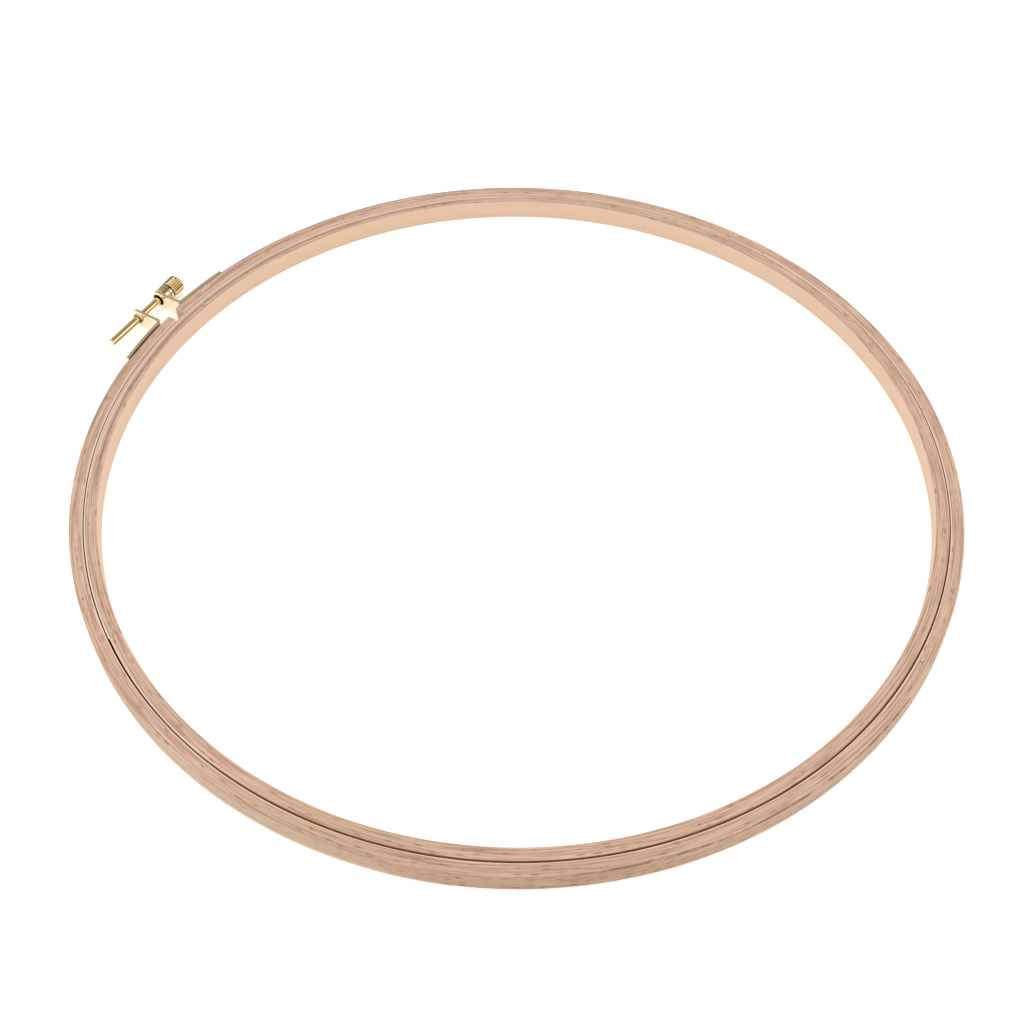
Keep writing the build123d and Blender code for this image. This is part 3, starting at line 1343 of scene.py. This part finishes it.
@dataclass
class SpacerCollar:
    """Plain turned ring between the head and the clearance ear."""

    clamp: Clamp
    material: Material
    bore_radius: float = 1.58 * MM
    outer_radius: float = 3.65 * MM
    rim: float = 0.25 * MM
    dish_radius: float = 2.7 * MM
    dish_depth: float = 1.4 * MM
    end_room: float = 0.03 * MM

    def build(self) -> None:
        """Build, dress and place the collar."""
        start, end = self.clamp.ear_outer_x, self.clamp.bearing_x - self.end_room
        bore, wall, rim = self.bore_radius, self.outer_radius, self.rim
        bottom = start + self.dish_depth
        outline = [(start, self.dish_radius), (start, wall - rim), (start + rim, wall)]
        outline.append((end - rim, wall))
        outline += [(end, wall - rim), (end, bore + rim / 2), (end - rim / 2, bore), (bottom, bore)]
        outline.append((bottom, self.dish_radius))
        mesh = bmesh.new()
        on_lathe(mesh, outline, self.clamp.on_axis(), closed=True)
        close_up(mesh)
        piece = make_piece("collar_turned", mesh, self.material, ("spacer_collar",))
        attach(piece, Body.SPACER_COLLAR.value)


@dataclass
class ThumbScrew:
    """Shank, flange, groove and straight-knurled head with a slot."""

    clamp: Clamp
    material: Material
    shank_length: float = 33.1 * MM
    shank_radius: float = 1.5 * MM
    tip_chamfer: float = 0.4 * MM
    flange_radius: float = 3.65 * MM
    flange_length: float = 1.5 * MM
    rim: float = 0.25 * MM
    groove_radius: float = 2.95 * MM
    groove_length: float = 0.55 * MM
    knurl_radius: float = 3.7 * MM
    knurl_depth: float = 0.42 * MM
    knurl_length: float = 5.8 * MM
    knurl_chamfer: float = 0.45 * MM
    knurl_count: int = 26
    slot_width: float = 0.75 * MM
    slot_depth: float = 1.4 * MM
    slot_degrees: float = 102.0

    @property
    def knurl_x(self) -> float:
        """Where the knurled head starts."""
        return self.clamp.bearing_x + self.flange_length + self.groove_length

    def build(self) -> None:
        """Build, dress and place the screw."""
        mesh = self._slotted_head()
        on_lathe(mesh, self._outline(), self.clamp.on_axis())
        close_up(mesh)
        piece = make_piece("screw_turned", mesh, self.material, ("thumb_screw",))
        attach(piece, Body.THUMB_SCREW.value)

    def _outline(self) -> list[tuple[float, float]]:
        """Half outline of all but the knurled head."""
        bearing = self.clamp.bearing_x
        tip = bearing - self.shank_length
        flange_end = bearing + self.flange_length
        wall, rim = self.flange_radius, self.rim
        outline = [(tip, 0.0), (tip, self.shank_radius - self.tip_chamfer)]
        outline += [(tip + self.tip_chamfer, self.shank_radius), (bearing, self.shank_radius)]
        outline += [(bearing, wall - rim), (bearing + rim, wall), (flange_end - rim, wall)]
        outline += [(flange_end, wall - rim), (flange_end, self.groove_radius)]
        outline += [(self.knurl_x + rim, self.groove_radius), (self.knurl_x + rim, 0.0)]
        return outline

    def _knurled_bar(self) -> Mesh:
        """Extrude the knurled head section by section, chamfered at both ends.

        Returns:
            A new mesh with the head, in place and still without its slot.
        """
        mesh = bmesh.new()
        crest = self.knurl_radius
        root = crest - self.knurl_depth
        end_radius = crest - self.knurl_chamfer
        root_at = root - end_radius
        facing = self.clamp.facing(self.knurl_x)
        segments = 2 * self.knurl_count
        bmesh.ops.create_circle(mesh, cap_ends=True, radius=end_radius, segments=segments, matrix=facing)
        stations = [(root_at, root), (self.knurl_chamfer, crest)]
        stations += [(self.knurl_length - distance, reach) for distance, reach in reversed(stations)]
        stations.append((self.knurl_length, end_radius))
        cap = mesh.faces[:]
        reached = 0.0
        for distance, reach in stations:
            grown = bmesh.ops.extrude_face_region(mesh, geom=cap)["geom"]
            verts = only_verts(grown)
            cap = [item for item in grown if isinstance(item, bmesh.types.BMFace)]
            bmesh.ops.translate(mesh, vec=(distance - reached, 0, 0), verts=verts)
            reached = distance
            for vert in verts:
                self._set_ridge(vert, min(reach, crest), min(reach, root))
        close_up(mesh)
        return mesh

    def _set_ridge(self, vert: Vert, crest: float, root: float) -> None:
        """Put a vertex of the head on a ridge or in the groove beside it."""
        away = Vector((vert.co.y - self.clamp.axis_y, vert.co.z))
        place = round(math.atan2(away.y, away.x) / math.tau * 2 * self.knurl_count) % 2
        away *= (root if place else crest) / away.length
        vert.co.y = self.clamp.axis_y + away.x
        vert.co.z = away.y

    def _slotted_head(self) -> Mesh:
        """Cut the screwdriver slot into the knurled head.

        Returns:
            A new mesh with the finished head.
        """
        head = as_object("head_blank", self._knurled_bar())
        cutter_mesh = bmesh.new()
        end_x = self.knurl_x + self.knurl_length
        place = self.clamp.on_axis(end_x) @ Matrix.Rotation(math.radians(self.slot_degrees), 4, "X")
        size = (2 * self.slot_depth, 4 * self.knurl_radius, self.slot_width)
        bmesh.ops.create_cube(cutter_mesh, size=1.0, matrix=place @ Matrix.Diagonal((*size, 1.0)))
        cutter = as_object("slot_cutter", cutter_mesh)
        cut = head.modifiers.new("slot", "BOOLEAN")
        cut.object = cutter
        cut.operation = "DIFFERENCE"
        cut.solver = "EXACT"
        slotted = evaluated_mesh(head)
        mesh = bmesh.new()
        mesh.from_mesh(slotted)
        for item in (head, cutter):
            bpy.data.objects.remove(item)
        bpy.data.meshes.remove(slotted)
        return mesh


# Studio


@dataclass(frozen=True)
class Lamp:
    """A soft rectangular lamp: its power in watts, its size, where it hangs and what it faces."""

    name: str
    watts: float
    size: tuple[float, float]
    at: Point
    to: Point


@dataclass
class Studio:
    """Pale floor, white surroundings, soft lamps and the photograph's camera."""

    floor_z: float = -4.03 * MM
    floor_half: float = 2.5
    floor_white: Colour = (0.92, 0.92, 0.92)
    floor_glow: float = 0.38
    under_rings: tuple[float, float] = (150.5 * MM, 159.5 * MM)
    clamp_at: Point = (0.0, 0.17, 0.0)
    sky_level: float = 0.88
    lamps: tuple[Lamp, ...] = (
        Lamp("overhead", 4.0, (1.4, 1.4), (-0.2, 0.45, 1.35), CENTRE),
        Lamp("slim", 0.6, (0.9, 0.16), (0.60, -0.72, 0.52), clamp_at),
    )
    camera_at: Point = (-0.323134, -0.193162, 0.441454)
    camera_target: Point = (-0.016987, -0.008299, 0.004)
    camera_roll: float = 0.005354
    lens: float = 55.937
    sensor: float = 36.0
    near_clip: float = 0.01
    far_clip: float = 50.0
    flag_radius: float = 0.62
    flag_steps: int = 8
    flag_span: tuple[float, float] = (-0.1, 1.1)
    back_flag: tuple[float, float, Colour] = (0.0, 86.0, (0.45, 0.42, 0.38))
    over_flag: tuple[float, float, Colour] = (86.0, 124.0, (0.25, 0.20, 0.15))
    slat_span: tuple[float, float] = (-30.0 * MM, -0.5 * MM)
    slat_reach: tuple[float, float] = (162.4 * MM, 168.4 * MM)
    slat_count: int = 11
    slat_height: float = 0.8 * MM
    # painted shade: brown of the shaded floor, for the slats
    slat_brown: Colour = (0.08, 0.035, 0.015)

    def build(self) -> None:
        """Build everything that isn't the hoop."""
        self._camera()
        self._world()
        self._floor()
        for lamp in self.lamps:
            self._hang(lamp)
        self._flags()
        self._slats()
        bpy.context.scene.view_settings.view_transform = "Standard"

    def _camera(self) -> None:
        """Stand the camera where the photograph was taken."""
        data = bpy.data.cameras.new("camera")
        data.lens = self.lens
        data.sensor_width = self.sensor
        data.clip_start = self.near_clip
        data.clip_end = self.far_clip
        camera = bpy.data.objects.new("camera", data)
        bpy.context.scene.collection.objects.link(camera)
        aim = (Vector(self.camera_target) - Vector(self.camera_at)).to_track_quat("-Z", "Y")
        camera.location = self.camera_at
        camera.rotation_euler = (aim @ Quaternion(Z_AXIS, self.camera_roll)).to_euler()
        bpy.context.scene.camera = camera

    def _seen_directly(self, bench: NodeBench) -> Socket:
        """1 for rays that show the surroundings: from the camera, in metal or through glass."""
        path = bench.node("ShaderNodeLightPath").outputs
        total = bench.maths("MAXIMUM", path["Is Camera Ray"], path["Is Glossy Ray"])
        return bench.maths("MAXIMUM", total, path["Is Transmission Ray"])

    def _world(self) -> None:
        """Even white light from all round, seen as plain white."""
        world = bpy.data.worlds.new("white_room")
        world.use_nodes = True
        world.node_tree.nodes.clear()
        bench = NodeBench(world.node_tree)
        extra = bench.times(self._seen_directly(bench), 1.0 - self.sky_level)
        inputs = {"Color": WHITE, "Strength": bench.plus(extra, self.sky_level)}
        glow = bench.node("ShaderNodeBackground", inputs)
        bench.node("ShaderNodeOutputWorld", {"Surface": glow.outputs[0]})
        bpy.context.scene.world = world

    def _plain(self, name: str, colour: Colour, glow: float = 0.0, one_sided: bool = False) -> Material:
        """Matt material that may glow a little where it is seen directly.

        Args:
            name: The material's name.
            colour: Its colour.
            glow: Strength of the extra white, which stops under the rings.
            one_sided: Whether it is clear from behind.

        Returns:
            The material.
        """
        material = new_material(name)
        bench = NodeBench(material.node_tree)
        matt = bench.node("ShaderNodeBsdfDiffuse", {"Color": colour}).outputs[0]
        place = bench.node("ShaderNodeTexCoord").outputs["Object"]
        level = bench.node("ShaderNodeVectorMath", {0: place, 1: LEVEL}, operation="MULTIPLY")
        radius = bench.length(level.outputs[0])
        within, beyond = self.under_rings
        clear = bench.maths("LESS_THAN", radius, within)
        clear = bench.plus(clear, bench.maths("GREATER_THAN", radius, beyond))
        extra = bench.times(bench.times(self._seen_directly(bench), glow), clear)
        light = bench.node("ShaderNodeEmission", {"Color": WHITE, "Strength": extra}).outputs[0]
        both = bench.node("ShaderNodeAddShader", {0: matt, 1: light}).outputs[0]
        if one_sided:
            behind = bench.node("ShaderNodeNewGeometry").outputs["Backfacing"]
            see_through = bench.node("ShaderNodeBsdfTransparent").outputs[0]
            both = bench.node("ShaderNodeMixShader", {0: behind, 1: both, 2: see_through}).outputs[0]
        bench.node("ShaderNodeOutputMaterial", {"Surface": both})
        return material

    def _staged(self, name: str, mesh: Mesh, material: Material) -> Thing:
        """Add a stage object, which isn't part of the hoop."""
        made = as_object(name, mesh)
        made.data.materials.append(material)
        return made

    def _floor(self) -> None:
        """Lay the pale floor under the rings."""
        mesh = bmesh.new()
        place = Matrix.Translation((0, 0, self.floor_z))
        bmesh.ops.create_grid(mesh, x_segments=1, y_segments=1, size=self.floor_half, matrix=place)
        self._staged("floor", mesh, self._plain("floor_white", self.floor_white, self.floor_glow))

    def _hang(self, lamp: Lamp) -> None:
        """Hang one lamp."""
        data = bpy.data.lights.new(lamp.name, "AREA")
        data.shape = "RECTANGLE"
        data.energy = lamp.watts
        data.size, data.size_y = lamp.size
        made = bpy.data.objects.new(lamp.name, data)
        made.location = lamp.at
        made.rotation_euler = (Vector(lamp.to) - Vector(lamp.at)).to_track_quat("-Z", "Y").to_euler()
        bpy.context.scene.collection.objects.link(made)

    def _flags(self) -> None:
        """Bend dark boards round the back of the clamp, which only glossy surfaces mirror."""
        for name, (start, end, grey) in (("back_flag", self.back_flag), ("over_flag", self.over_flag)):
            mesh = bmesh.new()
            edge_ends = [mesh.verts.new((x, self.flag_radius, 0.0)) for x in self.flag_span]
            edge = mesh.edges.new(edge_ends)
            lift = Matrix.Rotation(math.radians(start), 3, "X")
            bmesh.ops.rotate(mesh, cent=CENTRE, matrix=lift, verts=edge_ends)
            spin(mesh, [*edge_ends, edge], X_AXIS, math.radians(end - start), self.flag_steps)
            bmesh.ops.translate(mesh, vec=self.clamp_at, verts=mesh.verts[:])
            self._only_mirrored(name, mesh, grey)

    def _slats(self) -> None:
        """Stand low brown slats between the screw and the ring, clear from the ring's side: painted shade
        of the floor there, which only the brass mirrors.
        """
        mesh = bmesh.new()
        near, far = self.slat_reach
        for number in range(self.slat_count):
            across = near + (far - near) * number / (self.slat_count - 1)
            ends = [mesh.verts.new((x, across, self.floor_z)) for x in self.slat_span]
            grown = bmesh.ops.extrude_edge_only(mesh, edges=[mesh.edges.new(ends)])["geom"]
            bmesh.ops.translate(mesh, vec=(0, 0, self.slat_height), verts=only_verts(grown))
        mesh.normal_update()
        bmesh.ops.reverse_faces(mesh, faces=[face for face in mesh.faces if face.normal.y < 0])
        self._only_mirrored("clamp_slats", mesh, self.slat_brown, one_sided=True)

    def _only_mirrored(self, name: str, mesh: Mesh, colour: Colour, one_sided: bool = False) -> None:
        """Add a board that nothing but a glossy surface shows."""
        board = self._staged(name, mesh, self._plain(name + "_matt", colour, one_sided=one_sided))
        for kind in ("camera", "diffuse", "shadow", "transmission", "volume_scatter"):
            setattr(board, "visible_" + kind, False)


def beech_finishes(effects: EffectShelf) -> tuple[LappedBeechFinish, BeechFinish]:
    """Finishes of the inner and the outer ring, with the marks, lines and painted light and shade that each
    one shows.
    """
    dots = (421.3, 424.3, 427.8, 431.8, 434.3, 437.3, 448.0, 452.5, 456.8, 459.5, 462.0)
    flecks = (410.1, 418.8, 420.0, 423.8, 428.3)
    inner = LappedBeechFinish(
        name="inner_beech",
        effects=effects,
        mid_radius=152.425,
        half_thickness=2.425,
        arris=0.32,
        marks=(
            Mark(150.6, 1.2, 0.30, 0.42, 0.65),
            Mark(173.8, 0.6, 0.20, 0.30, 0.50),
            Mark(232.7, 0.4, 0.30, 0.35, 0.70),
            Mark(247.2, 0.4, 0.25, 0.35, 0.65),
            Mark(325.7, -2.2, 0.25, 0.50, 0.50),
            *(Mark(dot, -0.2, 0.20, 0.34, 0.90) for dot in dots),
        ),
        lines=(
            Line(1.60, 0.45, Tone.LILAC, (Stretch(396.0, 474.0, 8.0, 0.55),)),
            Line(0.74, 0.12, Tone.RUST, (Stretch(389.6, 478.0, 0.8, 0.50),)),
            Line(1.05, 0.19, Tone.GLUE, (Stretch(389.6, 478.0, 0.8, 0.72),)),
            # painted highlight: the inner ring's outer arris highlight, widened on both sides of the lap's
            # tip
            Line(
                2.12, 0.17, Tone.FOOT,
                (Stretch(474.0, 506.5, 8.0, 0.80), Stretch(150.5, 172.0, 6.0, 0.55)),
            ),
            # painted shade along the inner ring's outer arris, deepening the gap between the rings
            Line(2.32, 0.13, Tone.SEAM, (Stretch(176.0, 286.0, 8.0, 0.85),)),
            Line(-0.30, 0.34, Tone.PITH, (Stretch(404.0, 480.0, 8.0, 0.62),)),
        ),
        # dark red-brown outer wall: partly its own tone, partly painted shade that deepens the gap between
        # the rings
        wall_tan=(0.500, 0.205, 0.070),
        wall_olive=(0.420, 0.175, 0.060),
        # painted highlights on the inner ring's arrises
        pale_outer_arris=(Stretch(285.0, 506.5, 25.0, 0.85), Stretch(150.0, 176.0, 10.0, 0.9)),
        pale_inner_arris=(Stretch(300.0, 510.0, 20.0, 0.45), Stretch(149.8, 200.0, 14.0, 0.60)),
    )
    outer = BeechFinish(
        name="outer_beech",
        effects=effects,
        mid_radius=157.575,
        half_thickness=2.425,
        arris=0.45,
        # darker lining: partly its own tone, partly painted shade that deepens the gap between the rings
        lining_peach=(0.540, 0.340, 0.220),
        lining_sand=(0.500, 0.330, 0.205),
        marks=(
            Mark(142.6, 0.7, 0.28, 0.45, 0.75),
            Mark(172.3, -0.4, 0.25, 0.40, 0.65),
            Mark(187.7, -0.4, 0.35, 0.30, 0.55),
            Mark(269.6, -0.9, 0.12, 0.80, 0.80),
            Mark(270.2, -0.7, 0.22, 0.60, 0.55, Tone.CREAM),
            Mark(351.0, -1.8, 0.30, 0.40, 0.75),
            Mark(384.2, -0.2, 0.22, 0.35, 0.70),
            Mark(313.0, -2.0, 0.30, 0.35, 0.60),
            *(Mark(fleck, -0.5, 0.24, 0.30, 0.70) for fleck in flecks),
        ),
        lines=(
            # painted shade: grey line on the outer arris where it faces away from the light
            Line(
                2.02, 0.34, Tone.SLATE,
                (Stretch(385.0, 438.0, 15.0, 0.90), Stretch(101.0, 112.0, 6.0, 0.7)),
            ),
            Line(2.20, 0.26, Tone.FLECK, (Stretch(222.0, 262.0, 5.0, 0.90),), 6.0),
            Line(-0.10, 0.40, Tone.RUST, (Stretch(398.0, 446.0, 8.0, 0.85),), 9.0),
            # painted shade along the outer ring's inner arris, deepening the gap between the rings
            Line(-2.40, 0.08, Tone.SEAM, (Stretch(100.0, 330.0, 10.0, 0.70),)),
        ),
        wall_tints=(
            # painted light: the outer wall paler on two stretches round the near side
            WallTint(
                5.0, 9.0, Tone.TAN,
                (Stretch(130.0, 190.0, 14.0, 0.35), Stretch(236.0, 285.0, 14.0, 0.20)),
            ),
            # painted light from the floor: the lower outer wall paler from 130 to 192 degrees
            WallTint(-3.8, -1.0, Tone.FOOT, (Stretch(130.0, 192.0, 12.0, 0.65),)),
            # painted shade: the outer wall darker under one strap
            WallTint(5.0, 9.0, Tone.GRIME, (Stretch(92.6, 99.6, 0.3, 0.20),)),
        ),
        shaded=(Stretch(198.0, 226.0, 12.0, 0.14),),
        # cut ends paler: end grain and painted light
        cut_ends=(Stretch(80.0, 90.93, 0.08, 0.85), Stretch(449.07, 460.0, 0.08, 0.85)),
        # painted highlights on the outer ring's arrises
        pale_outer_arris=(Stretch(285.0, 372.0, 20.0, 0.45),),
        pale_inner_arris=(Stretch(92.0, 330.0, 30.0, 1.0), Stretch(330.0, 448.0, 30.0, 0.55)),
    )
    return inner, outer


def brass_finishes(effects: EffectShelf, clamp: Clamp) -> dict[str, Material]:
    """Build the clamp's finishes.

    Args:
        effects: The shared effects.
        clamp: The clamp, whose sizes say where its hollows are.

    Returns:
        The materials, by the name of what they are for.
    """
    seam = 0.2 * MM
    bearing = clamp.bearing_x
    turned = ((0.95, 0.77, 0.46), (0.89, 0.69, 0.38), 0.17, (0.09 * MM, 2.5 * MM, 2.5 * MM), 0.006 * MM)
    rolled = ((0.96, 0.87, 0.63), (0.91, 0.81, 0.55), 0.22, (4.0 * MM, 0.12 * MM, 4.0 * MM), 0.004 * MM)
    beaded = ((0.92, 0.79, 0.50), (0.85, 0.70, 0.40), 0.22, (0.8 * MM, 0.8 * MM, 0.8 * MM), 0.006 * MM)
    # painted shade in the hole, on the thread's boss, in the collar's dish and its seam
    hole = Hollow(-8.5 * MM, 6.95 * MM, 2.52 * MM, 0.35)
    thread = Hollow(-8.5 * MM, -6.9 * MM, 2.05 * MM, 0.72, softness=0.25 * MM)
    dish = Hollow(6.8 * MM, 8.5 * MM, 2.50 * MM, 0.97)
    collar_seam = Hollow(bearing - seam, bearing, 3.6 * MM, 0.80)
    screw = ThumbScrew
    groove_x = bearing + screw.flange_length
    end_x = groove_x + screw.groove_length + screw.knurl_length
    # painted shade in the seam, the groove, the knurl's roots and the slot
    screw_hollows = (
        Hollow(bearing, bearing + seam, 3.6 * MM, 0.80),
        Hollow(groove_x - seam / 2, groove_x + screw.groove_length, 3.35 * MM, 0.88),
        Hollow(
            groove_x + screw.groove_length, end_x, screw.knurl_radius - screw.knurl_depth + 0.06 * MM,
            0.45, softness=0.10 * MM,
        ),
        Hollow(
            end_x - screw.slot_depth, end_x + seam, screw.slot_width / 2 + 0.01 * MM, 0.92,
            slot_degrees=screw.slot_degrees, softness=0.02 * MM,
        ),
    )
    finishes = {
        Ear.CLEARANCE.value: BrassFinish("clearance_brass_rolled", effects, *rolled, hollows=(hole,)),
        Ear.TAPPED.value: BrassFinish("tapped_brass_rolled", effects, *rolled, hollows=(thread,)),
        "rivets": BrassFinish("rivet_brass_domed", effects, *beaded),
        "collar": BrassFinish("collar_brass_turned", effects, *turned, hollows=(dish, collar_seam)),
        "screw": BrassFinish("screw_brass_turned", effects, *turned, hollows=screw_hollows),
    }
    return {name: finish.dress() for name, finish in finishes.items()}


def main() -> None:
    """Build the hoop in its studio."""
    Studio().build()
    effects = EffectShelf()
    inner_beech, outer_beech = beech_finishes(effects)
    clamp = Clamp()
    brass = brass_finishes(effects, clamp)
    InnerRing(inner_beech).build()
    OuterRing(outer_beech).build()
    for ear in Ear:
        Bracket(clamp, ear, brass[ear.value]).build()
        RivetPair(clamp, ear, brass["rivets"]).build()
    SpacerCollar(clamp, brass["collar"]).build()
    ThumbScrew(clamp, brass["screw"]).build()


if __name__ == "__main__":
    main()
